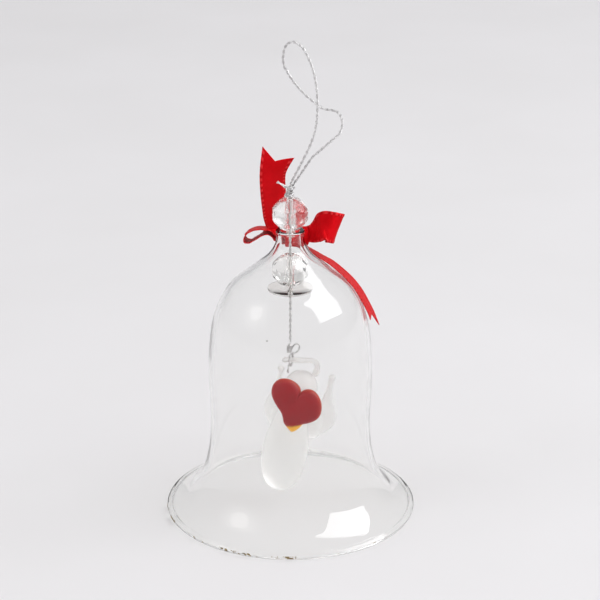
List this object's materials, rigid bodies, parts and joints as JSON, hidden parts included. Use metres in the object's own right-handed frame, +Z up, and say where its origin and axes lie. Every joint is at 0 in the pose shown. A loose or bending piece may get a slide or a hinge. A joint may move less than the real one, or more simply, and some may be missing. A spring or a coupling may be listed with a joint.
{
  "type": "christmas bell ornament",
  "caption": "Clear blown-glass bell ornament with a satin bow, bead and thread hanging loop, and a frosted glass angel with a red heart as its clapper.",
  "frame": {"origin": "centre of the rim circle, on the plane the bell stands on", "axes": "+Z up along the bell's axis to the neck, -Y towards the front, where the heart faces, +X to the right seen from the front"},
  "size_m": [0.07, 0.07, 0.1338],
  "materials": {
    "clear_glass": "clear blown glass, rim fire-polished with worn gilding",
    "bead_glass": "clear, cut facets",
    "disc_glass": "clear, polished",
    "silver_thread": "two-ply metallic thread",
    "frosted_glass": "etched, frosted",
    "red_glass": "opaque red with an amber point, satin",
    "red_satin": "satin ribbon with picot edges",
    "clear_glue": "clear hot-melt dab"
  },
  "bodies": {
    "bell": {"bell_glass": "clear_glass", "thread_core": "silver_thread", "top_knot": "silver_thread", "knot_tail": "silver_thread", "hanging_loop": "silver_thread", "stop_knot": "silver_thread", "ribbon_knot": "red_satin", "bow_loop_left": "red_satin", "bow_loop_right": "red_satin", "ribbon_tail_left": "red_satin", "ribbon_tail_right": "red_satin", "glue_dab": "clear_glue"},
    "upper_bead": {"top_bead": "bead_glass"},
    "lower_bead": {"inner_bead": "bead_glass"},
    "disc": {"stop_disc": "disc_glass"},
    "clapper_thread": {"hanging_thread": "silver_thread"},
    "thread_hook": {"lower_knot": "silver_thread", "thread_eye": "silver_thread", "knot_side_loop": "silver_thread", "thread_end": "silver_thread"},
    "angel": {"angel_hanger": "frosted_glass", "angel_head": "frosted_glass", "angel_robe": "frosted_glass", "angel_wing_left": "frosted_glass", "angel_wing_right": "frosted_glass", "heart": "red_glass"}
  },
  "joints": [
    {"name": "upper_bead_spin", "type": "hinge", "parent": "bell", "child": "upper_bead", "pos_m": [0, 0, 0.0876], "axis": [0, 0, 1], "continuous": true},
    {"name": "lower_bead_spin", "type": "hinge", "parent": "bell", "child": "lower_bead", "pos_m": [0, 0, 0.0712], "axis": [0, 0, 1], "continuous": true},
    {"name": "disc_spin", "type": "hinge", "parent": "bell", "child": "disc", "pos_m": [0, 0, 0.0657], "axis": [0, 0, 1], "continuous": true},
    {"name": "thread_swing", "type": "hinge", "parent": "bell", "child": "clapper_thread", "pos_m": [0, 0, 0.06325], "axis": [0, 1, 0], "range_deg": [-9, 9]},
    {"name": "clapper_turn", "type": "hinge", "parent": "clapper_thread", "child": "thread_hook", "pos_m": [0, 0, 0.0498], "axis": [0, 0, 1], "continuous": true},
    {"name": "angel_rock", "type": "hinge", "parent": "thread_hook", "child": "angel", "pos_m": [0.0002, -0.00005, 0.0445], "axis": [0.9777, -0.2009, 0.061], "range_deg": [-8, 8]}
  ]
}
